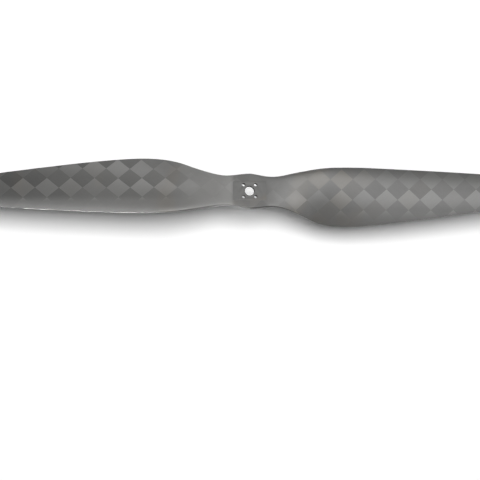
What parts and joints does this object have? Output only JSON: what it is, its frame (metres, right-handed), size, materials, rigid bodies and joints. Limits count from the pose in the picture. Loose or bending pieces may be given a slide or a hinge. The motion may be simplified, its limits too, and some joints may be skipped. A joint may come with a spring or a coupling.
{
  "type": "propeller",
  "caption": "Two-blade carbon-fibre multirotor propeller, moulded in one piece, with a flat drilled hub and twisted, cambered blades.",
  "frame": {"origin": "centre of the centre bore at the lower seat face of the hub", "axes": "+Z along the bore towards the thrust side, +X along the right blade from the hub to its tip, +Y towards that blade's leading edge"},
  "size_m": [0.7112, 0.0738, 0.0266],
  "materials": {
    "carbon_skin": "satin",
    "spar_carbon": "satin",
    "hub_laminate": "satin",
    "core_foam": "matte",
    "roving_carbon": "satin",
    "filled_resin": "satin",
    "pad_ply": "satin"
  },
  "bodies": {
    "root": {"upper_skin": "carbon_skin", "lower_skin": "carbon_skin", "upper_spar_cap": "spar_carbon", "lower_spar_cap": "spar_carbon", "hub_block": "hub_laminate", "left_blade_core": "core_foam", "right_blade_core": "core_foam", "left_leading_edge_roving": "roving_carbon", "right_leading_edge_roving": "roving_carbon", "left_tip_plug": "filled_resin", "right_tip_plug": "filled_resin", "upper_hub_pad": "pad_ply", "lower_hub_pad": "pad_ply"}
  },
  "joints": []
}
